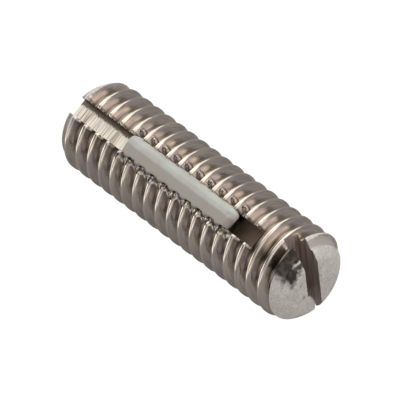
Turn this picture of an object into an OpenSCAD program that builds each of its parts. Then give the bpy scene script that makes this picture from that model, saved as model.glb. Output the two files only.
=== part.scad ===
// Slotted grub set screw with a nylon locking strip pressed into a groove along its thread.
// The screw lies on its side: its axis runs along X, the slotted end is at +X, the flat point
// at -X, and the groove with the strip faces straight up. Z = 0 is the surface it lies on.
// All sizes are in millimetres.

/* [Thread] */
// Diameter over the thread crests
thread_d = 5.94; // [5.4:0.02:6.4]
// Distance from one crest to the next along the axis
thread_pitch = 1; // [0.9:0.05:1.25]
// Radial depth from the crest to the edge of the root
thread_depth = 0.5; // [0.35:0.01:0.55]
// Extra depth in the middle of the rounded root
root_round = 0.08; // [0.02:0.01:0.1]
// Width of the flat on the crest
crest_flat = 0.13; // [0.08:0.01:0.18]
// Angle between the two flanks
flank_angle = 60; // [55:1:62]
// Where along the axis the crest passes the groove's side of the screw
thread_shift = 0.06; // [0:0.02:1]

/* [Body] */
// Length from the flat point to the slotted end
body_l = 20; // [18:0.5:24]
// Diameter of the flat at the point end
point_d = 3.8; // [3.4:0.05:4]
// Length of the rounded chamfer at the point end
point_chamfer_l = 1.1; // [0.9:0.05:1.4]
// Diameter of the flat at the slotted end
slot_end_d = 3.6; // [3.2:0.05:4]
// Length of the rounded chamfer at the slotted end
slot_end_chamfer_l = 1.1; // [0.9:0.05:1.4]
// How far both chamfers bulge out of a straight cone
chamfer_bulge = 0.12; // [0.04:0.01:0.16]

/* [Driver slot] */
// Width of the slot
slot_w = 1; // [0.9:0.02:1.2]
// Depth of the slot below the slotted end
slot_depth = 1.9; // [1.4:0.05:2.2]
// How far the slot is cut off the middle, at the end face
slot_offset = 0.11; // [0:0.01:0.25]
// Lean of the slot's sides out of the axis, towards the middle as it gets deeper
slot_lean = 6; // [0:1:10]
// Turn of the slot about the axis, away from the groove
slot_turn = 26; // [0:1:60]

/* [Groove] */
// Width of the groove, wall to wall
groove_w = 1.2; // [1:0.05:1.5]
// Depth of the groove's floor below the thread crests
groove_depth = 1.55; // [1.2:0.05:1.7]
// Distance from the groove's closed end to the slotted end
groove_stop = 3.6; // [2.6:0.1:4]
// Width of the bevel that the pressed edge along each side of the groove has
edge_bevel_w = 0.26; // [0.1:0.02:0.4]
// Depth of that bevel below the crests, at the groove's wall
edge_bevel_drop = 0.12; // [0.04:0.02:0.24]

/* [Locking strip] */
// Length of the strip
strip_l = 9.4; // [6:0.1:10]
// Distance from the flat point to the strip
strip_start = 5.15; // [4:0.05:6]
// Height of the strip's crown above the thread crests
strip_proud = 0.1; // [0.04:0.02:0.2]
// Rounding of the strip's top corners at its two ends
strip_end_r = 0.3; // [0.1:0.05:0.5]

/* [Hidden] */

steel_color = [0.66, 0.62, 0.58];
nylon_color = [0.72, 0.73, 0.69];

// Facets to one turn of the thread. They are turned half a facet, so that a flat
// of every crest, and not a corner, meets the surface below.
thread_sides = 40;
facet_angle = 360 / thread_sides;
// Points to one pitch of the thread's outline
outline_points = 5;
arc_steps = 6;
round_faces = 96;

thread_r = thread_d / 2;
root_r = thread_r - thread_depth;
flank_run = thread_depth * tan(flank_angle / 2);
axis_z = thread_r * cos(facet_angle / 2);
point_x = -body_l / 2;
slot_end_x = body_l / 2;

// The thread is made longer than the body and wider cuts reach past its outside
spare_turns = 2;
cut_margin = 1;
turn_count = ceil(body_l / thread_pitch) + 2 * spare_turns;
ring_count = turn_count * outline_points;
thread_start = -turn_count * thread_pitch / 2;

groove_floor = thread_r - groove_depth;
groove_end_x = slot_end_x - groove_stop;
strip_r = thread_r + strip_proud;
strip_end_x = point_x + strip_start;

// One pitch of the thread's outline: distance along the axis and radius
function thread_outline() = [
    [-crest_flat / 2, thread_r],
    [crest_flat / 2, thread_r],
    [crest_flat / 2 + flank_run, root_r],
    [thread_pitch / 2, root_r - root_round],
    [thread_pitch - crest_flat / 2 - flank_run, root_r]
];

// A point of the right-hand thread: column around the axis, ring along it
function thread_point(column, ring) =
    let (
        outline = thread_outline()[ring % outline_points],
        turn = floor(ring / outline_points),
        angle = facet_angle * (column + 0.5),
        lead = thread_pitch * (angle - 90) / 360,
        x = thread_start + thread_shift + turn * thread_pitch + outline[0] + lead
    )
    [x, outline[1] * cos(angle), outline[1] * sin(angle)];

// Index of a thread point, where the column after the last is the first one, a pitch further on
function thread_index(column, ring) =
    column < thread_sides
        ? column * (ring_count + 1) + ring
        : thread_index(column - thread_sides, ring + outline_points);

last_ring = ring_count - outline_points;
low_centre = thread_sides * (ring_count + 1);
high_centre = low_centre + 1;

function thread_points() = concat(
    [for (column = [0 : thread_sides - 1]) for (ring = [0 : ring_count]) thread_point(column, ring)],
    [[thread_start, 0, 0], [-thread_start, 0, 0]]
);

// The wall between two neighbouring columns, each square split in two triangles
function thread_wall() = [
    for (column = [0 : thread_sides - 1])
        for (ring = [0 : last_ring - 1])
            let (
                near = thread_index(column, ring),
                near_next = thread_index(column, ring + 1),
                far = thread_index(column + 1, ring),
                far_next = thread_index(column + 1, ring + 1)
            )
            for (triangle = [[near, near_next, far_next], [near, far_next, far]]) triangle
];

// The edge loop of one end: around all columns, then back along the step of one pitch
function end_loop(ring) = concat(
    [for (column = [0 : thread_sides]) thread_index(column, ring)],
    [for (back = [1 : outline_points - 1]) thread_index(thread_sides, ring) - back]
);

function fan(loop, centre) = [
    for (i = [0 : len(loop) - 1]) [centre, loop[i], loop[(i + 1) % len(loop)]]
];

function flipped(triangles) = [for (triangle = triangles) [triangle[0], triangle[2], triangle[1]]];

module thread_rod() {
    polyhedron(
        points = thread_points(),
        faces = concat(
            thread_wall(),
            fan(end_loop(0), low_centre),
            flipped(fan(end_loop(last_ring), high_centre))
        ),
        convexity = 10
    );
}

// A rounded chamfer as [radius, distance from the end face], from the flat to past the crests
function chamfer_points(flat_r, chamfer_l) =
    let (
        run = thread_r - flat_r,
        chord = norm([run, chamfer_l])
    )
    [
        for (step = [0 : arc_steps])
            let (
                t = step / arc_steps,
                bulge = 4 * t * (1 - t) * chamfer_bulge
            )
            [
                flat_r + t * run + bulge * chamfer_l / chord,
                t * chamfer_l - bulge * run / chord
            ]
    ];

function along_point_end(points) = [for (p = points) [p[0], point_x + p[1]]];

function along_slot_end(points) = [for (i = [len(points) - 1 : -1 : 0]) [points[i][0], slot_end_x - points[i][1]]];

// The turned outside that the thread runs out into: both end faces and both chamfers
module turned_outside() {
    crest_clear_r = thread_r + chamfer_bulge;
    rotate([0, 90, 0])
    rotate_extrude($fn = round_faces)
    polygon(concat(
        [[0, point_x]],
        along_point_end(chamfer_points(point_d / 2, point_chamfer_l)),
        [[crest_clear_r, point_x + point_chamfer_l + chamfer_bulge]],
        [[crest_clear_r, slot_end_x - slot_end_chamfer_l - chamfer_bulge]],
        along_slot_end(chamfer_points(slot_end_d / 2, slot_end_chamfer_l)),
        [[0, slot_end_x]]
    ));
}

// Height of the crests above the axis, at a distance aside of the groove's middle
function crest_height(aside) = sqrt(thread_r * thread_r - aside * aside);

// One side of the groove's section as [distance aside, height]: the wall, then the bevelled edge
function groove_side() =
    let (
        wall_y = groove_w / 2,
        bevel_y = wall_y + edge_bevel_w
    )
    [
        [wall_y, groove_floor],
        [wall_y, crest_height(wall_y) - edge_bevel_drop],
        [bevel_y, crest_height(bevel_y)],
        [bevel_y, thread_r + cut_margin]
    ];

function other_side(points) = [for (i = [len(points) - 1 : -1 : 0]) [-points[i][0], points[i][1]]];

// The groove is open at the flat point and stops square before the slotted end
module groove_cut() {
    translate([point_x - cut_margin, 0, 0])
    rotate([90, 0, 90])
    linear_extrude(height = groove_end_x - point_x + cut_margin)
    polygon(concat(groove_side(), other_side(groove_side())));
}

// The driver slot runs right across the slotted end
module slot_cut() {
    slot_reach = thread_r + cut_margin;
    rotate([-slot_turn, 0, 0])
    translate([slot_end_x, -slot_offset, 0])
    rotate([0, 0, -slot_lean])
    translate([-slot_depth, -slot_w / 2, -slot_reach])
    cube([slot_depth + cut_margin, slot_w, 2 * slot_reach]);
}

module screw_body() {
    color(steel_color)
    translate([0, 0, axis_z])
    difference() {
        intersection() {
            thread_rod();
            turned_outside();
        }
        groove_cut();
        slot_cut();
    }
}

// Side view of the strip, with its two top corners rounded
module strip_side() {
    strip_h = strip_r - groove_floor;
    top_l = strip_l - 2 * strip_end_r;
    square([strip_l, strip_h - strip_end_r]);
    translate([strip_end_r, 0])
    square([top_l, strip_h]);
    for (x = [strip_end_r, strip_l - strip_end_r])
        translate([x, strip_h - strip_end_r])
        circle(r = strip_end_r, $fn = round_faces);
}

// The strip fills the groove from wall to wall and its crown follows the thread's curve
module locking_strip() {
    color(nylon_color)
    translate([strip_end_x, 0, axis_z])
    intersection() {
        translate([0, groove_w / 2, groove_floor])
        rotate([90, 0, 0])
        linear_extrude(height = groove_w)
        strip_side();

        rotate([0, 90, 0])
        cylinder(r = strip_r, h = strip_l, $fn = round_faces);
    }
}

screw_body();
locking_strip();
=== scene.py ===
import math

import bmesh
import bpy
import numpy as np
from mathutils import Matrix, Vector


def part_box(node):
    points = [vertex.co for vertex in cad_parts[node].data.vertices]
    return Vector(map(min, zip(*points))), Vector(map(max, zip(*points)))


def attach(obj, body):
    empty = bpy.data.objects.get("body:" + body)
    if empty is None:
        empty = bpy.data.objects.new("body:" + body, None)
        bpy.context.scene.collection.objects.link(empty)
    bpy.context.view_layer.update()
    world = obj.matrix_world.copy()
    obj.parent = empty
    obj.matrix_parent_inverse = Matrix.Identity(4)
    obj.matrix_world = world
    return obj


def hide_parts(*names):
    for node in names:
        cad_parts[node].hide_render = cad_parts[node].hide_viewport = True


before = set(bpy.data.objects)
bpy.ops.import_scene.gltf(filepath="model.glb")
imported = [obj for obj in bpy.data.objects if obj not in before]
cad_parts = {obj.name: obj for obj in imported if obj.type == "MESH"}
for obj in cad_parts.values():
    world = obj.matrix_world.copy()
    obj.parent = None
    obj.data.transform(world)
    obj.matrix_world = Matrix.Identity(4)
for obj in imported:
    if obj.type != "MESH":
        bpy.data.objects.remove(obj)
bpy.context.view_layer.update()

mm = 0.001
bodyLow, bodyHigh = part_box("screw_body")
stripLow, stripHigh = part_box("locking_strip")
halfLength = (bodyHigh.x - bodyLow.x) / mm / 2
axisHeight = (bodyHigh.y - bodyLow.y) / mm / 2  # the screw lies on its crests, so its axis is this high


# Colours and nodes

smooth = {"interpolation_type": "SMOOTHSTEP"}
times = {"operation": "MULTIPLY"}
timesPlus = {"operation": "MULTIPLY_ADD"}
ofColours = {"data_type": "RGBA"}
mostNoise = (0.35, 0.65)    # nearly all values of a noise texture lie between these


def hexColour(code):  # sRGB hex to the linear colour that the shader wants
    parts = [int(code[i:i + 2], 16) / 255 for i in (1, 3, 5)]
    linear = [c / 12.92 if c <= 0.04045 else ((c + 0.055) / 1.055) ** 2.4 for c in parts]
    return (*linear, 1.0)


def newMaterial(name):
    material = bpy.data.materials.new(name)
    material.use_nodes = True
    material.node_tree.nodes.clear()
    return material, material.node_tree


def addNode(tree, kind, settings=None, **inputs):  # one shader node with its settings, values and links
    node = tree.nodes.new("ShaderNode" + kind)
    for key, value in (settings or {}).items():
        setattr(node, key, value)
    for key, value in inputs.items():  # in0 is the first input, From_Min the one called From Min
        socket = node.inputs[int(key[2:])] if key.startswith("in") and key[2:].isdigit() \
            else node.inputs[key.replace("_", " ")]
        if isinstance(value, bpy.types.NodeSocket):
            tree.links.new(value, socket)
        else:
            socket.default_value = value
    return node


# Steel screw

steel = dict(               # millimetres and degrees
    threadRadius=2.96,      # over the crests
    pitch=1.0,
    crestFlat=0.13,
    crestEdgeRadius=0.022,
    threadDepth=0.58,       # to the middle of the root
    flankAngle=30,          # each flank, from square to the axis
    threadShift=0.06,
    crestSteps=(0, 0.5, 1),  # shares of the crest's edge, of the flank and of the root that get a point
    flankSteps=(0.25, 0.5, 0.75),
    rootSteps=(1, 0.66, 0.33, 0),
    spareTurns=1.5,         # thread past each end face, which is cut away
    spareEnd=0.5,
    pointFlat=3.8,
    pointChamfer=1.1,
    slotEndFlat=3.6,
    slotEndChamfer=1.1,
    chamferBulge=0.12,
    chamferSteps=12,
    turnedSides=288,
    slotWidth=1.0,
    slotDepth=1.9,
    slotOffset=0.11,        # cut off the middle at the end face, away from the groove
    slotLean=6,             # and its sides lean out of the axis
    slotTurn=26,
    slotReach=4,            # the slot's cutter reaches this far to both sides
    grooveWidth=1.2,
    grooveDepth=1.55,
    grooveStop=3.6,
    cutMargin=1,            # cutters stand this far out of the steel
    turnedMargin=0.3,       # and so does the turned outside over the crests
    fineHalfAngle=34,       # the stretch round the groove that gets the fine columns
    fineStep=0.7,
    coarseStep=3.6,
    edgeReach=0.2,          # the groove's edges are pressed over this far
    edgeDrop=0.15,
    edgeUneven=0.25,
    edgeThread=0.4,         # only the outer part of the thread takes the pressing
    stakedFade=0.3,         # the staking fades out this far past the strip's ends
    mashReach=0.46,         # beside the strip the thread ends are mashed this far, on one side
    mashFull=1.3,           # above 1, so that they are fully mashed for a stretch
    mashRagged=0.25,        # in waves three times as long as the lumps
    mashHeight=2.67,        # to about this radius
    mashKeeps=0.35,         # share of the thread's height that is left
    mashShare=0.9,
    mashLump=0.08,
    mashLumpSize=0.12,
    mashCrumbs=0.7,         # crumbs of half that size on the lumps
    mashPlace=(0.0, 0.17),  # the lumps sit at each crest's end: along the pitch, and from the groove's wall
    mashSpread=(1.3, 0.2),  # how full they are along the pitch, and how far they reach across it
    bumpPlace=(0.33, 1.15),  # on the other side each valley has a bump pressed up: along the pitch, and aside
    bumpSize=(0.22, 0.27),
    bumpHeight=2.8,
    bumpFall=0.32,
    bumpCrumbs=0.02,
    bumpVariety=(0.75, 1.15),
    bumpFrom=0.9,           # only where the staking hasn't faded
    burrMiddle=(9.6, -0.55, -1.85),  # burr that hangs in the slot's lower way out, in the slot's own turn
    burrSize=(0.28, 0.68, 0.95),
    smoothBelow=48,         # edges flatter than this are shaded smooth
)
varietyCount = 64           # random sizes that the thread's turns take in order


def threadProfile():  # one pitch: distance from the crest's middle along the axis, and radius
    s = steel
    angle = math.radians(s["flankAngle"])
    edge = s["crestEdgeRadius"]
    tangent = edge * math.tan((math.pi / 2 - angle) / 2)
    half = []
    for t in s["crestSteps"]:
        turn = t * (math.pi / 2 - angle)
        half.append((s["crestFlat"] / 2 - tangent + edge * math.sin(turn), edge * (1 - math.cos(turn))))
    apex = (s["pitch"] / 2 - s["crestFlat"] / 2) / math.tan(angle)
    rootRadius = (apex - s["threadDepth"]) / (1 / math.sin(angle) - 1)
    for t in s["rootSteps"]:
        turn = t * (math.pi / 2 - angle)
        half.append((s["pitch"] / 2 - rootRadius * math.sin(turn),
                     s["threadDepth"] - rootRadius * (1 - math.cos(turn))))
    top = len(s["crestSteps"])
    flankTop, flankFoot = np.array(half[top - 1]), np.array(half[top])
    half[top:top] = [tuple(flankTop + (flankFoot - flankTop) * t) for t in s["flankSteps"]]
    points = [(0.0, 0.0)] + half
    mirrored = [(s["pitch"] - x, d) for x, d in points[1:-1][::-1]]
    return [(x, s["threadRadius"] - d) for x, d in points + mirrored]


def chamferOutline(flat, length):  # radius and distance from the end face
    s = steel
    run = s["threadRadius"] - flat / 2
    chord = math.hypot(run, length)
    outline = []
    for step in range(s["chamferSteps"] + 1):
        t = step / s["chamferSteps"]
        bulge = 4 * t * (1 - t) * s["chamferBulge"]
        outline.append((flat / 2 + t * run + bulge * length / chord, t * length - bulge * run / chord))
    return outline


def meshObject(name, points, faces):
    mesh = bpy.data.meshes.new(name)
    mesh.from_pydata([tuple(p) for p in np.asarray(points, float)], [], faces)
    mesh.update()
    thing = bpy.data.objects.new(name, mesh)
    bpy.context.scene.collection.objects.link(thing)
    return thing


def softNoise(points, size, seed):  # smooth value noise between -1 and 1, with features of that size
    tableLength = 4096
    table = np.random.default_rng(seed).uniform(-1, 1, tableLength)
    a, b, c = 73856093, 19349663, 83492791  # large primes, which spread the cells over the table
    grid = np.asarray(points) / size
    cell = np.floor(grid).astype(int)
    share = grid - cell
    share = share * share * (3 - 2 * share)
    total = 0
    for corner in range(8):
        step = np.array([(corner >> k) & 1 for k in range(3)])
        key = cell + step
        value = table[(key[:, 0] * a ^ key[:, 1] * b ^ key[:, 2] * c) % tableLength]
        weight = np.prod(np.where(step, share, 1 - share), axis=1)
        total = total + value * weight
    return total


def threadRod():
    s = steel
    profile = threadProfile()
    count = len(profile)
    turns = 2 * math.ceil(halfLength / s["pitch"] + s["spareTurns"])
    fine = np.arange(-s["fineHalfAngle"], s["fineHalfAngle"], s["fineStep"])
    rest = 360 - 2 * s["fineHalfAngle"]
    steps = round(rest / s["coarseStep"])
    coarse = s["fineHalfAngle"] + np.arange(steps) * rest / steps
    angles = np.concatenate([fine, coarse])  # measured from the groove, right-handed about +X
    columns = len(angles)
    rings = turns * count + 1
    ringIndex = np.arange(rings)
    offset = np.array([p[0] for p in profile])[ringIndex % count] + (ringIndex // count) * s["pitch"]
    radius = np.array([p[1] for p in profile])[ringIndex % count]
    start = -turns * s["pitch"] / 2 + s["threadShift"]
    x = start + offset[None, :] + s["pitch"] * angles[:, None] / 360
    r = np.repeat(radius[None, :], columns, 0)
    a = np.radians(angles)[:, None] + 0 * x
    r = wornRadius(x, a, r)
    points = np.stack([x, -r * np.sin(a), r * np.cos(a)], -1).reshape(-1, 3)
    lowCentre, highCentre = len(points), len(points) + 1
    points = np.vstack([points, [[start - s["spareEnd"], 0, 0], [-start + s["spareEnd"], 0, 0]]])

    def index(column, ring):  # past the last column comes the first one, a pitch further on
        return column * rings + ring if column < columns else (column - columns) * rings + ring + count

    last = rings - 1 - count
    faces = []
    for column in range(columns):
        for ring in range(last):
            faces.append((index(column, ring), index(column, ring + 1),
                          index(column + 1, ring + 1), index(column + 1, ring)))
    for ring, centre, order in ((0, lowCentre, 1), (last, highCentre, -1)):
        loop = [index(c, ring) for c in range(columns + 1)]
        loop += [index(columns, ring) - back for back in range(1, count)]
        for i, corner in enumerate(loop):
            faces.append((centre, corner, loop[(i + 1) % len(loop)])[::order])
    return meshObject("thread_rod", points, faces)


def wornRadius(x, a, r):  # the thread as the staking left it beside the groove
    s = steel
    y = -r * np.sin(a)
    aside = np.abs(y) - s["grooveWidth"] / 2
    nearGroove = (np.cos(a) > 0) & (x < halfLength - s["grooveStop"] + s["edgeReach"] / 2)
    spots = np.stack([x, y, 0 * x], -1).reshape(-1, 3)
    lump = softNoise(spots, s["mashLumpSize"], seed=3).reshape(x.shape)
    crumb = softNoise(spots, s["mashLumpSize"] / 2, seed=4).reshape(x.shape)
    wide = softNoise(spots, 3 * s["mashLumpSize"], seed=6).reshape(x.shape)
    besideStrip = np.clip((x - stripLow.x / mm) / s["stakedFade"] + 1, 0, 1) \
        * np.clip((stripHigh.x / mm - x) / s["stakedFade"] + 1, 0, 1)
    mash = np.clip(s["mashFull"] - aside / s["mashReach"] + s["mashRagged"] * wide, 0, 1) \
        * besideStrip * nearGroove * (y < 0)
    mash = mash * mash * (3 - 2 * mash)
    crestEnd = np.clip(s["mashSpread"][0] * np.cos(2 * np.pi * (x - s["mashPlace"][0]) / s["pitch"]), 0, 1)
    crestEnd = crestEnd * np.exp(-((aside - s["mashPlace"][1]) / s["mashSpread"][1]) ** 2)
    mashed = s["mashHeight"] + s["mashKeeps"] * (r - s["mashHeight"]) \
        + s["mashLump"] * crestEnd * (lump + s["mashCrumbs"] * crumb)
    r = r + mash * s["mashShare"] * (mashed - r)
    bumpTurn = np.floor(x - s["bumpPlace"][0] + 0.5)
    sizes = np.random.default_rng(21).uniform(*s["bumpVariety"], varietyCount)
    grown = sizes[(bumpTurn % varietyCount).astype(int)]
    far = (x - s["bumpPlace"][0] - bumpTurn) / s["bumpSize"][0]
    high = (-s["bumpHeight"] * np.sin(a) - s["bumpPlace"][1]) / s["bumpSize"][1]
    bump = s["bumpHeight"] - s["bumpFall"] * (far * far + high * high) / grown + s["bumpCrumbs"] * crumb
    r = np.where((besideStrip > s["bumpFrom"]) & nearGroove & (y > 0), np.maximum(r, bump), r)
    t = np.clip(1 - aside / s["edgeReach"], 0, 1) * nearGroove
    outer = r > s["threadRadius"] - s["edgeThread"]
    return r - s["edgeDrop"] * t * t * (1 + s["edgeUneven"] * lump) * outer


def turnedOutside():  # both end faces and chamfers, as one revolved shell
    s = steel
    clear = s["turnedMargin"]
    outline = [(0, -halfLength)]
    outline += [(r, -halfLength + d) for r, d in chamferOutline(s["pointFlat"], s["pointChamfer"])]
    outline += [(s["threadRadius"] + clear, -halfLength + s["pointChamfer"] + clear)]
    outline += [(s["threadRadius"] + clear, halfLength - s["slotEndChamfer"] - clear)]
    outline += [(r, halfLength - d) for r, d in chamferOutline(s["slotEndFlat"], s["slotEndChamfer"])[::-1]]
    outline += [(0, halfLength)]
    sides = s["turnedSides"]
    points, faces = [], []
    for r, x in outline[1:-1]:
        for k in range(sides):
            a = 2 * math.pi * (k + 0.5) / sides
            points.append((x, r * math.cos(a), r * math.sin(a)))
    for ring in range(len(outline) - 3):
        for k in range(sides):
            n = (k + 1) % sides
            faces.append((ring * sides + k, (ring + 1) * sides + k, (ring + 1) * sides + n, ring * sides + n))
    for ring, x, order in ((0, -halfLength, 1), (len(outline) - 3, halfLength, -1)):
        points.append((x, 0, 0))
        centre = len(points) - 1
        for k in range(sides):
            faces.append((centre, ring * sides + k, ring * sides + (k + 1) % sides)[::order])
    return meshObject("turned_outside", points, faces)


def blockCutter(name, low, high):
    corners = [(x, y, z) for x in (low[0], high[0]) for y in (low[1], high[1]) for z in (low[2], high[2])]
    faces = [(0, 1, 3, 2), (4, 6, 7, 5), (0, 4, 5, 1), (2, 3, 7, 6), (0, 2, 6, 4), (1, 5, 7, 3)]
    return meshObject(name, corners, faces)


def slotPlacing():  # from the slot's own axes, with its mouth at x = 0, to the screw's
    s = steel
    turn = Matrix.Rotation(math.radians(-s["slotTurn"]), 4, "X")
    lean = Matrix.Rotation(math.radians(-s["slotLean"]), 4, "Z")
    return turn @ Matrix.Translation((halfLength, -s["slotOffset"], 0)) @ lean


def burr():  # a rounded flap that the saw pushed over, kept inside the turned end
    s = steel
    ball = bmesh.new()
    bmesh.ops.create_icosphere(ball, subdivisions=4, radius=1)
    thing = meshObject("burr", [(0, 0, 0)], [])
    ball.to_mesh(thing.data)
    ball.free()
    thing.data.transform(Matrix.Diagonal((*s["burrSize"], 1)))
    thing.data.transform(Matrix.Translation(s["burrMiddle"]))
    thing.data.transform(Matrix.Rotation(math.radians(-s["slotTurn"]), 4, "X"))
    cut(thing, turnedOutside(), "INTERSECT")
    return thing


def cut(thing, tool, operation):
    modifier = thing.modifiers.new("cut", "BOOLEAN")
    modifier.operation = operation
    modifier.solver = "MANIFOLD"
    modifier.object = tool
    graph = bpy.context.evaluated_depsgraph_get()
    made = bpy.data.meshes.new_from_object(thing.evaluated_get(graph))
    thing.modifiers.clear()
    old = thing.data
    thing.data = made
    bpy.data.meshes.remove(old)
    bpy.data.objects.remove(tool)


def buildScrew():
    s = steel
    margin, reach = s["cutMargin"], s["slotReach"]
    rod = threadRod()
    print("thread", len(rod.data.polygons))
    cut(rod, turnedOutside(), "INTERSECT")
    groove = blockCutter(
        "groove",
        (-halfLength - margin, -s["grooveWidth"] / 2, s["threadRadius"] - s["grooveDepth"]),
        (halfLength - s["grooveStop"], s["grooveWidth"] / 2, s["threadRadius"] + margin))
    cut(rod, groove, "DIFFERENCE")
    slot = blockCutter("slot", (-s["slotDepth"], -s["slotWidth"] / 2, -reach),
                       (margin, s["slotWidth"] / 2, reach))
    slot.data.transform(slotPlacing())
    cut(rod, slot, "DIFFERENCE")
    cut(rod, burr(), "UNION")
    print("screw after its cuts", len(rod.data.polygons))
    rod.name = "threaded_body"
    rod.data.name = "threaded_body"
    return rod


rolledKind, tumbledKind, milledKind, sawnKind = range(4)  # the order of the screw's materials

faceTest = dict(            # how near a face lies, in millimetres, to what cut it
    plane=0.003,
    outline=0.002,          # of the end faces and of the groove seen from above
    floor=0.01,             # over the slot's floor, and under the groove's
    chamfer=0.012,
    square=0.98,            # and how square to it the face is
)


def surfaceKinds(mesh):  # which finish each face has, told from where it lies, in millimetres from the axis
    s = steel
    t = faceTest
    count = len(mesh.polygons)
    centre = np.empty(count * 3)
    normal = np.empty(count * 3)
    mesh.polygons.foreach_get("center", centre)
    mesh.polygons.foreach_get("normal", normal)
    centre, normal = centre.reshape(-1, 3), normal.reshape(-1, 3)
    x, y, z = centre.T
    radius = np.hypot(y, z)
    kinds = np.full(count, rolledKind)
    for flat, length, side in ((s["pointFlat"], s["pointChamfer"], -1),
                               (s["slotEndFlat"], s["slotEndChamfer"], 1)):
        outline = chamferOutline(flat, length)
        limit = np.interp(halfLength - side * x, [d for _, d in outline], [r for r, _ in outline])
        onChamfer = (halfLength - side * x < length) & (radius > limit - t["chamfer"])
        onFace = np.abs(side * x - halfLength) < t["outline"]
        kinds[onChamfer | onFace] = tumbledKind

    def onPlane(distance, facing):
        return (np.abs(distance) < t["plane"]) & (facing > t["square"])

    floorHeight = s["threadRadius"] - s["grooveDepth"]
    grooveEnd = halfLength - s["grooveStop"]
    inGroove = (z > floorHeight - t["floor"]) & (np.abs(y) < s["grooveWidth"] / 2 + t["outline"]) \
        & (x < grooveEnd + t["outline"])
    isWall = onPlane(np.abs(y) - s["grooveWidth"] / 2, np.abs(normal[:, 1]))
    isFloor = onPlane(z - floorHeight, normal[:, 2])
    isEnd = onPlane(x - grooveEnd, np.abs(normal[:, 0]))
    kinds[inGroove & (isWall | isFloor | isEnd)] = milledKind
    fromSlot = np.array(slotPlacing().inverted())
    deep, across = (centre @ fromSlot[:3, :3].T + fromSlot[:3, 3]).T[:2]
    facingDeep, facingAcross = (normal @ fromSlot[:3, :3].T).T[:2]
    inSlot = (deep > -s["slotDepth"] - t["plane"]) & (np.abs(across) < s["slotWidth"] / 2 + t["plane"])
    isWall = onPlane(np.abs(across) - s["slotWidth"] / 2, np.abs(facingAcross))
    isFloor = onPlane(deep + s["slotDepth"], facingDeep)
    kinds[inSlot & (deep > -s["slotDepth"] + t["floor"])] = tumbledKind  # the burr took the tumbling
    kinds[inSlot & (isWall | isFloor)] = sawnKind
    return kinds


def finishMaterial(tree, height, depth, strength, **looks):  # the bump, shader and output that end each one
    bump = addNode(tree, "Bump", Height=height, Distance=depth * mm, Strength=strength)
    shader = addNode(tree, "BsdfPrincipled", Normal=bump.outputs["Normal"], **looks)
    addNode(tree, "OutputMaterial", Surface=shader.outputs["BSDF"])


def fromTo(ends, unit=1):  # the two ends of what a Map Range node reads
    return {"From_Min": ends[0] * unit, "From_Max": ends[1] * unit}


def perMillimetre(size):  # texture scale for features of that many millimetres
    return 1 / (size * mm)


def distanceFromAxis(tree, place):  # the axis runs along x at the axis height
    fromAxis = addNode(tree, "VectorMath", {"operation": "SUBTRACT"}, in0=place, in1=(0, 0, axisHeight * mm))
    aside = addNode(tree, "VectorMath", times, in0=fromAxis.outputs[0], in1=(0, 1, 1))
    length = addNode(tree, "VectorMath", {"operation": "LENGTH"}, in0=aside.outputs[0])
    return length.outputs["Value"]


def shareBetween(tree, value, low, high, soft):  # 1 between two places, in millimetres, with soft sides
    rise = addNode(tree, "MapRange", smooth, Value=value, From_Min=(low - soft) * mm,
                   From_Max=(low + soft) * mm)
    fall = addNode(tree, "MapRange", smooth, Value=value, From_Min=(high - soft) * mm,
                   From_Max=(high + soft) * mm, To_Min=1.0, To_Max=0.0)
    return addNode(tree, "Math", times, in0=rise.outputs[0], in1=fall.outputs[0]).outputs[0]


darkReflection = dict(              # painted dark reflection on the chamfer at the slotted end, in line with the groove
    colour="#3e332b",
    along=(8.9, 10.15, 0.1),  # from, to and softness in millimetres, before the edge is made ragged
    aside=(-0.75, 1.3, 0.2),
    ridgeAlong=(9.77, 9.95, 0.04),  # a ridge in it is left out of the painted reflection and shows pale
    ridgeAside=(0.2, 1.3, 0.15),
    ragged=0.4,
    raggedShift=(0.5, 0.6),
    thinned=(0.45, 0.65),   # it thins a little in patches, between these noise values
    thinnest=0.9,
)


def paintedDarkReflection(tree, place):  # share of the painted dark reflection at each spot
    s = darkReflection
    ragged = addNode(tree, "TexNoise", Vector=place, Scale=perMillimetre(s["ragged"]), Detail=2.0)
    moved = addNode(tree, "VectorMath", timesPlus, in0=ragged.outputs["Color"],
                    in1=tuple(shift * mm for shift in (*s["raggedShift"], 0)), in2=place)
    axes = addNode(tree, "SeparateXYZ", Vector=moved.outputs[0])
    onRidge = addNode(tree, "Math", times, in0=shareBetween(tree, axes.outputs["X"], *s["ridgeAlong"]),
                      in1=shareBetween(tree, axes.outputs["Y"], *s["ridgeAside"]))
    bare = addNode(tree, "Math", {"operation": "SUBTRACT"}, in0=1.0, in1=onRidge.outputs[0])
    above = addNode(tree, "Math", {"operation": "GREATER_THAN"}, in0=axes.outputs["Z"], in1=axisHeight * mm)
    patchy = addNode(tree, "MapRange", Value=ragged.outputs["Fac"], **fromTo(s["thinned"]), To_Min=1.0,
                     To_Max=s["thinnest"])
    share = shareBetween(tree, axes.outputs["X"], *s["along"])
    for other in (shareBetween(tree, axes.outputs["Y"], *s["aside"]), bare.outputs[0], above.outputs[0],
                  patchy.outputs[0]):
        share = addNode(tree, "Math", times, in0=share, in1=other).outputs[0]
    return share


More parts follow.
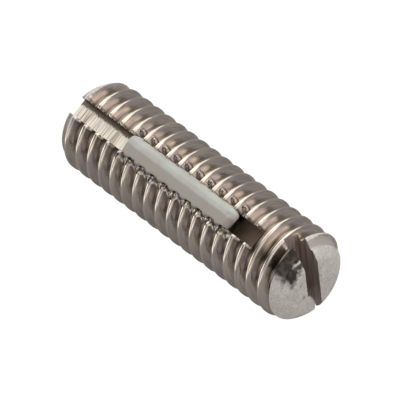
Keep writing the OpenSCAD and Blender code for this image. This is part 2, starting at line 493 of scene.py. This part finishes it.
rolled = dict(
    warm="#cdc1b1",         # straw tint left by the heat treatment
    cool="#b3aaae",         # and a faint violet one
    tinted=(0.38, 0.62),    # noise values over which the one turns into the other
    root="#8b7d70",         # painted shade in the thread roots, with some oil and oxide
    rootRadius=(2.36, 2.62),  # thinning out between these radii
    rootShadeShare=0.85,
    crest="#cbc0b3",        # crests rubbed bright
    crestRadius=(2.925, 2.955),
    grimeAndShade="#5c4e42",        # dirty build-up and painted contact shade round the staked edges
    grimeShadeSize=0.22,
    grimeShadeCaught=(0.44, 0.58),
    grimeShadeMashed=(-1.0, -0.5, 0.1),  # across the screw: from, to and softness, over the mashed thread ends
    grimeShadeBumped=(0.5, 0.68, 0.05),  # and on the side of the bumps
    grimeShadeEndSoft=0.15,
    grimeShadeCrest=(-0.2, 0.6),  # it sits at the crests, told by a cosine along the pitch
    grimeShadeValley=0.15,
    grimeShadeRoughness=0.3,
    streakWidth=0.09,       # millimetres; rolling lines are finer, drawn this coarse so that they show
    streakLength=1.3,
    blotch=0.9,
    roughness=(0.12, 0.24),
    bump=0.006,
    bumpStrength=0.6,
    peenedReach=0.95,       # the tumbling also dulled the shallow thread this near the ends
    peenedSoft=0.3,
    peenedRagged=0.4,
    peenedRoughness=0.25,
    peenedScatter=0.6,
)


def rolledSteel():
    # Austenitic stainless steel, thread-rolled: cold dies press the flanks smooth, so the eye sees a
    # tight gloss with faint lines that follow the helix, brighter crests, and roots darkened with painted
    # shade and some oil.
    s = rolled
    material, tree = newMaterial("rolled_stainless_steel")
    place = addNode(tree, "TexCoord").outputs["Object"]
    radius = distanceFromAxis(tree, place)
    across = addNode(tree, "Math", times, in0=radius, in1=s["streakLength"] / s["streakWidth"])
    streak = addNode(tree, "TexNoise", {"noise_dimensions": "4D"}, Vector=place, W=across.outputs[0],
                     Scale=perMillimetre(s["streakLength"]), Detail=2.0).outputs["Fac"]
    blotch = addNode(tree, "TexNoise", Vector=place, Scale=perMillimetre(s["blotch"]),
                     Detail=3.0).outputs["Fac"]
    tint = addNode(tree, "MapRange", Value=streak, **fromTo(s["tinted"]))
    colour = addNode(tree, "Mix", ofColours, in0=tint.outputs[0], in6=hexColour(s["warm"]),
                     in7=hexColour(s["cool"])).outputs[2]
    # painted shade in the thread roots, with some oil and oxide
    rootShade = addNode(tree, "MapRange", smooth, Value=radius, **fromTo(s["rootRadius"], mm),
                     To_Min=s["rootShadeShare"], To_Max=0.0)
    onCrest = addNode(tree, "MapRange", Value=radius, **fromTo(s["crestRadius"], mm))
    axes = addNode(tree, "SeparateXYZ", Vector=place)
    # dirty build-up and painted contact shade at the mashed crest ends and round the bumps beside the strip
    mashedSide = shareBetween(tree, axes.outputs["Y"], *s["grimeShadeMashed"])
    phase = addNode(tree, "Math", timesPlus, in0=axes.outputs["X"], in1=2 * math.pi / (steel["pitch"] * mm),
                    in2=-2 * math.pi * steel["mashPlace"][0])
    wave = addNode(tree, "Math", {"operation": "COSINE"}, in0=phase.outputs[0])
    atCrest = addNode(tree, "MapRange", Value=wave.outputs[0], **fromTo(s["grimeShadeCrest"]),
                      To_Min=s["grimeShadeValley"])
    mashedSide = addNode(tree, "Math", times, in0=mashedSide, in1=atCrest.outputs[0])
    bumpedSide = shareBetween(tree, axes.outputs["Y"], *s["grimeShadeBumped"])
    beside = addNode(tree, "Math", {"operation": "MAXIMUM"}, in0=mashedSide.outputs[0], in1=bumpedSide)
    along = shareBetween(tree, axes.outputs["X"], stripLow.x / mm, stripHigh.x / mm, s["grimeShadeEndSoft"])
    above = addNode(tree, "Math", {"operation": "GREATER_THAN"}, in0=axes.outputs["Z"], in1=axisHeight * mm)
    crumbs = addNode(tree, "TexNoise", Vector=place, Scale=perMillimetre(s["grimeShadeSize"]), Detail=2.0)
    grimeAndShade = addNode(tree, "MapRange", Value=crumbs.outputs["Fac"], **fromTo(s["grimeShadeCaught"])).outputs[0]
    for share in (beside.outputs[0], along, above.outputs[0]):
        grimeAndShade = addNode(tree, "Math", times, in0=grimeAndShade, in1=share).outputs[0]
    rough = addNode(tree, "MapRange", Value=blotch, **fromTo(mostNoise), To_Min=s["roughness"][0],
                    To_Max=s["roughness"][1])
    rough = addNode(tree, "Math", timesPlus, in0=grimeAndShade, in1=s["grimeShadeRoughness"], in2=rough.outputs[0])
    fromMiddle = addNode(tree, "Math", {"operation": "ABSOLUTE"}, in0=axes.outputs["X"])
    uneven = addNode(tree, "Math", timesPlus, in0=blotch, in1=s["peenedRagged"] * mm,
                     in2=fromMiddle.outputs[0])
    peened = addNode(tree, "MapRange", smooth, Value=uneven.outputs[0],
                     From_Min=(halfLength - s["peenedReach"]) * mm,
                     From_Max=(halfLength - s["peenedReach"] + s["peenedSoft"]) * mm).outputs[0]
    # the last of these tones is a painted dark reflection on the chamfer
    for share, tone in ((rootShade.outputs[0], s["root"]), (onCrest.outputs[0], s["crest"]), (grimeAndShade, s["grimeAndShade"]),
                        (peened, tumbled["dull"]), (paintedDarkReflection(tree, place), darkReflection["colour"])):
        colour = addNode(tree, "Mix", ofColours, in0=share, in6=colour, in7=hexColour(tone)).outputs[2]
    rough = addNode(tree, "Math", timesPlus, in0=peened, in1=s["peenedRoughness"], in2=rough.outputs[0])
    metallic = addNode(tree, "Math", timesPlus, in0=peened, in1=-s["peenedScatter"], in2=1.0)
    finishMaterial(tree, streak, s["bump"], s["bumpStrength"], Base_Color=colour,
                   Metallic=metallic.outputs[0], Roughness=rough.outputs[0])
    return material


tumbled = dict(
    pale="#fcf9f5",
    dull="#d9d1ca",
    metallic=0.25,          # the peened skin scatters most of the light
    grain=0.14,             # millimetres; the media leave finer dents, drawn this coarse so that they show
    stain=1.1,
    stainShare=0.5,
    shaded=(0.52, 0.98),    # sum of grain and stain over which dull turns into pale
    grainShown=(0.3, 0.7),
    roughness=(0.42, 0.6),
    bump=0.016,
    bumpStrength=0.7,
)


def tumbledSteel():
    # Stainless steel turned to length and then barrel-tumbled: the media peen away the turning lines,
    # so the eye sees a pale satin skin with a fine even grain.
    s = tumbled
    material, tree = newMaterial("tumbled_stainless_steel")
    place = addNode(tree, "TexCoord").outputs["Object"]
    grain = addNode(tree, "TexNoise", Vector=place, Scale=perMillimetre(s["grain"]),
                    Detail=3.0).outputs["Fac"]
    stain = addNode(tree, "TexNoise", Vector=place, Scale=perMillimetre(s["stain"]), Detail=3.0)
    both = addNode(tree, "Math", timesPlus, in0=stain.outputs["Fac"], in1=s["stainShare"], in2=grain)
    shade = addNode(tree, "MapRange", Value=both.outputs[0], **fromTo(s["shaded"]))
    colour = addNode(tree, "Mix", ofColours, in0=shade.outputs[0], in6=hexColour(s["dull"]),
                     in7=hexColour(s["pale"])).outputs[2]
    # painted dark reflection on the chamfer, in line with the groove
    colour = addNode(tree, "Mix", ofColours, in0=paintedDarkReflection(tree, place), in6=colour,
                     in7=hexColour(darkReflection["colour"])).outputs[2]
    rough = addNode(tree, "MapRange", Value=grain, **fromTo(s["grainShown"]), To_Min=s["roughness"][0],
                    To_Max=s["roughness"][1])
    finishMaterial(tree, grain, s["bump"], s["bumpStrength"], Base_Color=colour, Metallic=s["metallic"],
                   Roughness=rough.outputs[0])
    return material


def toolMarks(tree, place, width, length, direction):  # lines left by a cutter, along y or z
    stretch = {"y": (1 / width, 1 / length, 1 / width), "z": (1 / width, 1 / width, 1 / length)}[direction]
    spread = addNode(tree, "VectorMath", times, in0=place, in1=tuple(value / mm for value in stretch))
    return addNode(tree, "TexNoise", Vector=spread.outputs[0], Scale=1.0, Detail=2.0).outputs["Fac"]


milled = dict(
    pale="#f3ede2",
    dull="#a89886",
    tinted=(0.36, 0.58),
    corner="#5a493b",       # painted shade on the floor along one wall
    cornerShadeReach=(0.5, 0.62),  # millimetres aside, before the marks make it ragged
    cornerShadeShare=0.9,
    ragged=0.5,
    stain="#a5907f",        # browner floor in the pocket past the strip's end, which scatters
    stainStart=(0.6, 0.2),  # it sets in under the strip's end, between these distances before it
    stainRoughness=0.3,
    stainScatter=0.85,
    lineWidth=0.09,         # millimetres between the marks; every other one or so is deep enough to show
    lineLength=2.5,
    roughness=0.3,
    bump=0.014,
    bumpStrength=0.7,
)


def milledSteel():
    # Stainless steel cut with a side-and-face cutter fed along the screw: each tooth leaves a line
    # across the groove, so the eye sees close bright and brown stripes on its floor.
    s = milled
    material, tree = newMaterial("milled_stainless_steel")
    place = addNode(tree, "TexCoord").outputs["Object"]
    marks = toolMarks(tree, place, s["lineWidth"], s["lineLength"], "y")
    shade = addNode(tree, "MapRange", Value=marks, **fromTo(s["tinted"]))
    colour = addNode(tree, "Mix", ofColours, in0=shade.outputs[0], in6=hexColour(s["dull"]),
                     in7=hexColour(s["pale"])).outputs[2]
    axes = addNode(tree, "SeparateXYZ", Vector=place)
    # painted shade on the floor along one wall
    ragged = addNode(tree, "Math", timesPlus, in0=marks, in1=s["ragged"] * mm, in2=axes.outputs["Y"])
    corner = addNode(tree, "MapRange", smooth, Value=ragged.outputs[0], **fromTo(s["cornerShadeReach"], mm),
                     To_Max=s["cornerShadeShare"])
    # browner, scattering floor in the pocket past the strip's end
    pocket = addNode(tree, "MapRange", smooth, Value=axes.outputs["X"],
                     From_Min=stripHigh.x - s["stainStart"][0] * mm,
                     From_Max=stripHigh.x - s["stainStart"][1] * mm).outputs[0]
    for share, tone in ((corner.outputs[0], s["corner"]), (pocket, s["stain"])):
        colour = addNode(tree, "Mix", ofColours, in0=share, in6=colour, in7=hexColour(tone)).outputs[2]
    rough = addNode(tree, "Math", timesPlus, in0=pocket, in1=s["stainRoughness"], in2=s["roughness"])
    metallic = addNode(tree, "Math", timesPlus, in0=pocket, in1=-s["stainScatter"], in2=1.0)
    finishMaterial(tree, marks, s["bump"], s["bumpStrength"], Base_Color=colour, Metallic=metallic.outputs[0],
                   Roughness=rough.outputs[0])
    return material


sawn = dict(
    light="#d0c2ba",
    dark="#a3938a",
    tinted=(0.36, 0.64),
    metallic=0.55,          # the burnt oil scatters the rest
    lineWidth=0.11,         # millimetres
    lineLength=3.0,
    roughness=0.42,
    bump=0.01,
    bumpStrength=0.7,
)


def sawnSteel():
    # Stainless steel slotted with a saw and left unfinished: burnt cutting oil stains it, so the eye
    # sees dark brown walls with straight lines along the slot.
    s = sawn
    material, tree = newMaterial("sawn_stainless_steel")
    place = addNode(tree, "TexCoord").outputs["Object"]
    turned = addNode(tree, "VectorRotate", {"rotation_type": "X_AXIS"}, Vector=place,
                     Angle=math.radians(steel["slotTurn"]))
    marks = toolMarks(tree, turned.outputs[0], s["lineWidth"], s["lineLength"], "z")
    shade = addNode(tree, "MapRange", Value=marks, **fromTo(s["tinted"]))
    colour = addNode(tree, "Mix", ofColours, in0=shade.outputs[0], in6=hexColour(s["dark"]),
                     in7=hexColour(s["light"])).outputs[2]
    finishMaterial(tree, marks, s["bump"], s["bumpStrength"], Base_Color=colour, Metallic=s["metallic"],
                   Roughness=s["roughness"])
    return material


def finishScrew(screw):
    kinds = surfaceKinds(screw.data)
    screw.data.materials.clear()
    for material in (rolledSteel(), tumbledSteel(), milledSteel(), sawnSteel()):
        screw.data.materials.append(material)
    screw.data.polygons.foreach_set("material_index", kinds.astype(np.int32))
    screw.data.polygons.foreach_set("use_smooth", np.ones(len(kinds), bool))
    screw.data.transform(Matrix.Translation((0, 0, axisHeight)))
    screw.data.transform(Matrix.Scale(mm, 4))
    screw.data.set_sharp_from_angle(angle=math.radians(steel["smoothBelow"]))
    screw.data.update()
    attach(screw, "root")
    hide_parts("screw_body")
    print("screw finished", np.bincount(kinds))


# Nylon strip

strip = dict(               # millimetres and degrees
    halfWidth=0.59,
    seatGap=0.01,           # over the groove's floor
    sections=220,
    crowded=0.25,           # share of the sections' spacing that closes up towards the ends
    sideSteps=(0.25, 0.5, 0.75),
    crownDrop=0.2,          # from the middle of the crown to its edges
    crownPower=(3.4, 1.3),  # round on the lip's side, a plain slope on the other
    crownInset=0.98,
    crownPoints=25,
    lipReach=0.1,           # nylon pressed over the groove's edge on the one side, nearly straight
    lipWave=0.035,
    lipWaveSize=(0.9, 0.3),  # a long wave and a short one
    lipShortWave=0.6,
    lipLow=2.56,            # heights above the screw's axis
    lipHigh=2.84,
    lipPoints=9,
    flashLeast=0.04,        # and on the other side a little at the crests, more in the thread valleys
    flashReach=0.19,
    flashAside=-0.7,
    flashPower=0.6,
    flashVariety=(0.7, 1.1),
    flashRagged=0.03,
    flashRaggedSize=0.16,
    flashFall=0.3,
    flashPoints=7,
    flashEnds=(0.1, 0.9),
    edgeFade=0.5,           # lip and flash fade out this near the strip's ends
    nearEndDrop=0.42,
    nearEndRound=0.42,
    nearEndReach=1.2,       # the near end's cuts reach this far back into the strip
    farEndDrop=0.3,
    farEndRound=0.5,
    undercut=0.4,
    cornerCut=0.5,          # the near end's corner on the lip's side is sheared off
    cornerStart=0.36,
    cornerMost=1.2,
    cornerPower=1.5,
    shoulderCut=0.13,
    shoulderStart=0.1,
    shoulderReach=0.3,
    dentPlace=(4.12, 0.12),  # sink mark near the sheared end
    dentSize=0.2,
    dentDepth=0.07,
    dentFrom=0.4,           # only the skin this little below the lip's height sinks
    unevenness=0.012,
    unevenSize=(0.5, 0.17),
    unevenShare=(0.6, 0.4),
    unevenFrom=0.2,
    smoothBelow=50,         # edges flatter than this are shaded smooth
    milky="#d6dad3",        # where the strip stands proud
    dull="#cbccc5",
    cloudSize=1.2,
    shadedHalf="#c4beb5",       # painted shade: one half of the top is darker, turned away from the light
    shadedHalfEdge=(-0.02, 0.16),
    shadedHalfWave=0.14,
    # darker along the edges where it meets the steel, and darker low down
    darkTone="#3f352b",
    darkEdgeAside=(0.63, 0.76),
    darkEdgeShare=0.6,
    darkLowHeight=(2.3, 2.55),  # above the axis, thinning out upwards
    darkLowShare=0.9,
    drawLength=4.0,         # marks of the drawing die
    drawWidth=0.14,
    drawDepth=0.01,
    drawStrength=0.5,
    roughness=0.42,
    translucent=0.25,
    lightDepth=0.5,
)


def nylon():
    # Natural nylon 6 cut from strip stock and pressed in: it stays milky and a little translucent, so
    # the eye sees a soft satin grey, drawn marks along it, darker edges and bottom, and painted shade on one
    # half.
    s = strip
    material, tree = newMaterial("natural_nylon")
    place = addNode(tree, "TexCoord").outputs["Object"]
    axes = addNode(tree, "SeparateXYZ", Vector=place)
    cloud = addNode(tree, "TexNoise", Vector=place, Scale=perMillimetre(s["cloudSize"]), Detail=3.0)
    shade = addNode(tree, "MapRange", Value=cloud.outputs["Fac"], **fromTo(mostNoise))
    colour = addNode(tree, "Mix", ofColours, in0=shade.outputs[0], in6=hexColour(s["dull"]),
                     in7=hexColour(s["milky"])).outputs[2]
    # painted shade: one half of the top is darker
    wavy = addNode(tree, "Math", timesPlus, in0=cloud.outputs["Fac"], in1=s["shadedHalfWave"] * mm,
                   in2=axes.outputs["Y"])
    shadedHalf = addNode(tree, "MapRange", smooth, Value=wavy.outputs[0], **fromTo(s["shadedHalfEdge"], mm), To_Min=1.0,
                     To_Max=0.0)
    # darker edges where the strip meets the steel, and darker towards its bottom
    side = addNode(tree, "Math", {"operation": "ABSOLUTE"}, in0=axes.outputs["Y"])
    atEdge = addNode(tree, "MapRange", smooth, Value=side.outputs[0], **fromTo(s["darkEdgeAside"], mm),
                     To_Max=s["darkEdgeShare"])
    deep = addNode(tree, "MapRange", smooth, Value=axes.outputs["Z"],
                   From_Min=(axisHeight + s["darkLowHeight"][0]) * mm,
                   From_Max=(axisHeight + s["darkLowHeight"][1]) * mm, To_Min=s["darkLowShare"], To_Max=0.0)
    for share, tone in ((shadedHalf, s["shadedHalf"]), (atEdge, s["darkTone"]), (deep, s["darkTone"])):
        colour = addNode(tree, "Mix", ofColours, in0=share.outputs[0], in6=colour,
                         in7=hexColour(tone)).outputs[2]
    stretched = addNode(tree, "VectorMath", times, in0=place,
                        in1=tuple(value / mm for value in (1 / s["drawLength"], 1 / s["drawWidth"], 1)))
    drawn = addNode(tree, "TexNoise", Vector=stretched.outputs[0], Scale=1.0, Detail=2.0)
    finishMaterial(tree, drawn.outputs["Fac"], s["drawDepth"], s["drawStrength"], Base_Color=colour,
                   Roughness=s["roughness"], Subsurface_Weight=s["translucent"],
                   Subsurface_Scale=s["lightDepth"] * mm)
    return material


def valleyHump(x):  # about 1 in the middle of each thread valley, 0 at the crests
    lead = steel["pitch"] * math.degrees(math.asin(strip["flashAside"] / steel["threadRadius"])) / 360
    turns = (x - steel["threadShift"] + lead) / steel["pitch"]
    sizes = np.random.default_rng(12).uniform(*strip["flashVariety"], varietyCount)
    share = sizes[(np.floor(turns) % varietyCount).astype(int)]
    return share * np.clip(-np.cos(2 * np.pi * turns), 0, 1) ** strip["flashPower"]


def stripSections(x, top, bottom):  # the outline of the strip at every x, as columns of y and z
    s = strip
    low, high, half = x[0], x[-1], s["halfWidth"]
    along = np.stack([x, 0 * x, 0 * x], -1)
    waves = [softNoise(along, size, seed) for size, seed in zip(s["lipWaveSize"], (13, 14))]
    lip = s["lipReach"] + s["lipWave"] * (waves[0] + s["lipShortWave"] * waves[1])
    flash = s["flashLeast"] + s["flashReach"] * valleyHump(x) \
        + s["flashRagged"] * softNoise(along, s["flashRaggedSize"], seed=15)
    fade = np.clip((x - low) / s["edgeFade"], 0, 1) * np.clip((high - x) / s["edgeFade"], 0, 1)
    lip, flash = lip * fade, flash * fade
    drop = 0 * x
    for gone, rounding, fall in ((x - low, s["farEndRound"], s["farEndDrop"]),
                                 (high - x, s["nearEndRound"], s["nearEndDrop"])):
        t = np.clip(1 - gone / rounding, 0, 1)
        drop = drop + fall * (1 - np.sqrt(1 - t * t))
    loop = [(0 * x - half, 0 * x + bottom), (0 * x + half, 0 * x + bottom)]
    loop += [(0 * x + half, 0 * x + bottom + (s["lipLow"] - bottom) * t) for t in s["sideSteps"]]
    for q in np.linspace(0, 1, s["lipPoints"]):
        bend = math.sin(math.pi * q)
        loop.append((half + lip * bend, s["lipLow"] + (s["lipHigh"] - s["lipLow"]) * q - drop * q))
    for p in np.linspace(1, -1, s["crownPoints"]):
        power = s["crownPower"][0 if p > 0 else 1]
        loop.append((half * s["crownInset"] * p + 0 * x, top - s["crownDrop"] * abs(p) ** power - drop))
    for q in np.linspace(*s["flashEnds"], s["flashPoints"]):
        bend = math.sin(math.pi * q)
        loop.append((-half - flash * bend, s["lipHigh"] - s["flashFall"] * q - drop * (1 - q)))
    loop += [(0 * x - half, 0 * x + bottom + (s["lipLow"] - bottom) * t) for t in s["sideSteps"][::-1]]
    return np.array([p[0] for p in loop]).T, np.array([p[1] for p in loop]).T


def buildStrip():
    s = strip
    low, high = stripLow.x / mm, stripHigh.x / mm
    top = stripHigh.z / mm - axisHeight - s["unevenness"]
    bottom = stripLow.z / mm - axisHeight + s["seatGap"]
    ends = (1 - np.cos(np.linspace(0, np.pi, s["sections"]))) / 2
    x = low + (high - low) * (s["crowded"] * ends + (1 - s["crowded"]) * np.linspace(0, 1, s["sections"]))
    y, z = stripSections(x, top, bottom)
    count = y.shape[1]
    xAll = np.repeat(x[:, None], count, 1)
    nearEnd = np.clip(1 - (high - xAll) / s["nearEndReach"], 0, 1)
    tipHeight = top - s["nearEndDrop"]
    xAll = xAll - nearEnd * s["undercut"] * np.clip((tipHeight - z) / (tipHeight - bottom), 0, 1)
    cornerWidth = s["halfWidth"] + s["lipReach"] - s["cornerStart"]
    sheared = np.clip((y - s["cornerStart"]) / cornerWidth, 0, s["cornerMost"])
    shoulder = np.clip((s["shoulderStart"] - y) / s["shoulderReach"], 0, 1)
    xAll = xAll - nearEnd ** 2 * (s["cornerCut"] * sheared ** s["cornerPower"] + s["shoulderCut"] * shoulder)
    points = np.stack([xAll, y, z], -1).reshape(-1, 3)
    rough = softNoise(points, s["unevenSize"][0], seed=5) * s["unevenShare"][0] \
        + softNoise(points, s["unevenSize"][1], seed=6) * s["unevenShare"][1]
    points[:, 2] += s["unevenness"] * rough * (points[:, 2] > s["lipHigh"] - s["unevenFrom"])
    fromDent = (points[:, :2] - s["dentPlace"]) / s["dentSize"]
    dented = np.exp(-(fromDent ** 2).sum(1)) * (points[:, 2] > s["lipHigh"] - s["dentFrom"])
    points[:, 2] -= s["dentDepth"] * dented
    faces = []
    for i in range(len(x) - 1):
        for k in range(count):
            n = (k + 1) % count
            faces.append((i * count + k, (i + 1) * count + k, (i + 1) * count + n, i * count + n)[::-1])
    faces.append(tuple(range(count))[::-1])
    faces.append(tuple((len(x) - 1) * count + k for k in range(count)))
    thing = meshObject("pressed_nylon_strip", points, faces)
    turned = bmesh.new()
    turned.from_mesh(thing.data)
    bmesh.ops.recalc_face_normals(turned, faces=turned.faces)
    turned.to_mesh(thing.data)
    turned.free()
    thing.data.transform(Matrix.Translation((0, 0, axisHeight)))
    thing.data.transform(Matrix.Scale(mm, 4))
    thing.data.polygons.foreach_set("use_smooth", np.ones(len(thing.data.polygons), bool))
    thing.data.set_sharp_from_angle(angle=math.radians(s["smoothBelow"]))
    thing.data.materials.append(nylon())
    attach(thing, "root")
    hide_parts("locking_strip")
    print("strip", len(thing.data.polygons))


# Camera, from the photo: the screw's axis leans out of the image plane towards the lens

shot = dict(
    axisLean=32.96,         # degrees that the axis rises out of the image plane
    axisRoll=36.69,         # degrees that the axis falls to the right in the image
    grooveTurn=3.7,         # degrees that the groove is turned away from the lens
    pixelsPerMm=16.86,
    imageSide=400,
    middlePixel=(200.67, 200.57),  # where the middle of the axis shows in the photograph
    distance=700,           # millimetres
    sensor=36,
    clip=(0.01, 10),        # metres
)


def makeCamera():
    s = shot
    lean, roll, turn = (math.radians(s[k]) for k in ("axisLean", "axisRoll", "grooveTurn"))
    along = Vector((math.cos(lean) * math.cos(roll), math.cos(lean) * math.sin(roll), -math.sin(lean)))
    facing = Vector((-math.sin(lean) * math.cos(roll), -math.sin(lean) * math.sin(roll), -math.cos(lean)))
    aside = Vector((-math.sin(roll), math.cos(roll), 0))
    upward = facing * math.cos(turn) - aside * math.sin(turn)
    across = -facing * math.sin(turn) - aside * math.cos(turn)
    right = Vector((along.x, across.x, upward.x))
    down = Vector((along.y, across.y, upward.y))
    away = Vector((along.z, across.z, upward.z))
    centre = Vector((0, 0, axisHeight))
    shift = [(s["imageSide"] / 2 - p) / s["pixelsPerMm"] for p in s["middlePixel"]]
    place = centre - away * s["distance"] + right * shift[0] + down * shift[1]
    data = bpy.data.cameras.new("camera")
    data.sensor_width = s["sensor"]
    data.lens = s["pixelsPerMm"] * s["distance"] / s["imageSide"] * s["sensor"]
    data.clip_start, data.clip_end = s["clip"]
    camera = bpy.data.objects.new("camera", data)
    turnMatrix = Matrix((right, -down, -away)).transposed()
    camera.matrix_world = Matrix.Translation(place * mm) @ turnMatrix.to_4x4()
    bpy.context.scene.collection.objects.link(camera)
    bpy.context.scene.camera = camera


# Studio: soft lights seen from the screw, each with its direction, the degrees from its middle at which
# it has fallen to half, and its strength. The slotted end is at +X and the lens above it.

studio = dict(
    lights=[
        ((0.794, 0.600, 0.098), 13.2, 2.75),    # low, past the slotted end on the +Y side
        ((0.149, 0.845, 0.514), 16.1, 1.85),    # over the +Y flank
        ((-0.300, 0.930, 0.100), 13.0, 2.00),   # low on the +Y side
        ((-0.567, 0.607, 0.557), 18.4, 2.52),   # high, past the point on the +Y side
        ((-0.208, 0.102, 0.973), 13.2, 1.10),   # overhead
        ((-0.640, 0.160, 0.750), 11.0, 1.10),   # above the point
        ((-0.697, -0.529, 0.485), 11.6, 2.80),  # high, past the point on the -Y side
        ((-0.465, -0.878, 0.117), 12.6, 2.00),  # low on the -Y side
        ((0.830, -0.547, 0.106), 11.9, 1.98),   # low, past the slotted end on the -Y side
        ((0.171, -0.740, 0.651), 12.4, 1.55),   # over the -Y flank
        ((0.960, 0.100, 0.250), 16.0, 1.20),    # facing the slotted end
    ],
    lightColour="#fffdfa",
    floorSide=3.0,          # metres from the middle to each side
    floorColour=0.55,
    floorGlow=1.17,
    glowSeen=0.85,          # share of the floor that just glows to the camera; the rest takes the shadow
    glowMirrored=0.05,      # and the share of that glow which the steel mirrors
)


def makeFloor():
    s = studio
    side = s["floorSide"]
    floor = meshObject("floor", [(-side, -side, 0), (side, -side, 0), (side, side, 0), (-side, side, 0)],
                       [(0, 1, 2, 3)])
    material, tree = newMaterial("white_sweep")
    rays = addNode(tree, "LightPath")
    mirrored = addNode(tree, "Math", {"operation": "MAXIMUM"}, in0=rays.outputs["Is Glossy Ray"],
                       in1=rays.outputs["Is Transmission Ray"])
    mirrored = addNode(tree, "Math", times, in0=mirrored.outputs[0], in1=s["glowMirrored"])
    share = addNode(tree, "Math", timesPlus, in0=rays.outputs["Is Camera Ray"], in1=s["glowSeen"],
                    in2=mirrored.outputs[0])
    grey = s["floorColour"]
    paper = addNode(tree, "BsdfDiffuse", Color=(grey, grey, grey, 1))
    glow = addNode(tree, "Emission", Color=(1, 1, 1, 1), Strength=s["floorGlow"])
    both = addNode(tree, "MixShader", in0=share.outputs[0], in1=paper.outputs[0], in2=glow.outputs[0])
    addNode(tree, "OutputMaterial", Surface=both.outputs[0])
    floor.data.materials.append(material)


def makeWorld():
    s = studio
    world = bpy.data.worlds.new("studio")
    world.use_nodes = True
    tree = world.node_tree
    tree.nodes.clear()
    toward = addNode(tree, "TexCoord").outputs["Generated"]
    total = 0.0
    for direction, halfWidth, strength in s["lights"]:
        tightness = math.log(2) / (1 - math.cos(math.radians(halfWidth)))
        facing = addNode(tree, "VectorMath", {"operation": "DOT_PRODUCT"}, in0=toward,
                         in1=tuple(Vector(direction).normalized()))
        fall = addNode(tree, "Math", timesPlus, in0=facing.outputs["Value"], in1=tightness, in2=-tightness)
        glow = addNode(tree, "Math", {"operation": "EXPONENT"}, in0=fall.outputs[0])
        total = addNode(tree, "Math", timesPlus, in0=glow.outputs[0], in1=strength, in2=total).outputs[0]
    rays = addNode(tree, "LightPath")
    tent = addNode(tree, "Background", Color=hexColour(s["lightColour"]), Strength=total)
    pale = addNode(tree, "Background", Color=(1, 1, 1, 1), Strength=1.0)
    both = addNode(tree, "MixShader", in0=rays.outputs["Is Camera Ray"], in1=tent.outputs[0],
                   in2=pale.outputs[0])
    addNode(tree, "OutputWorld", Surface=both.outputs[0])
    bpy.context.scene.world = world


finishScrew(buildScrew())
buildStrip()
makeCamera()
makeFloor()
makeWorld()
bpy.context.scene.view_settings.view_transform = "Standard"
print("camera and lights")
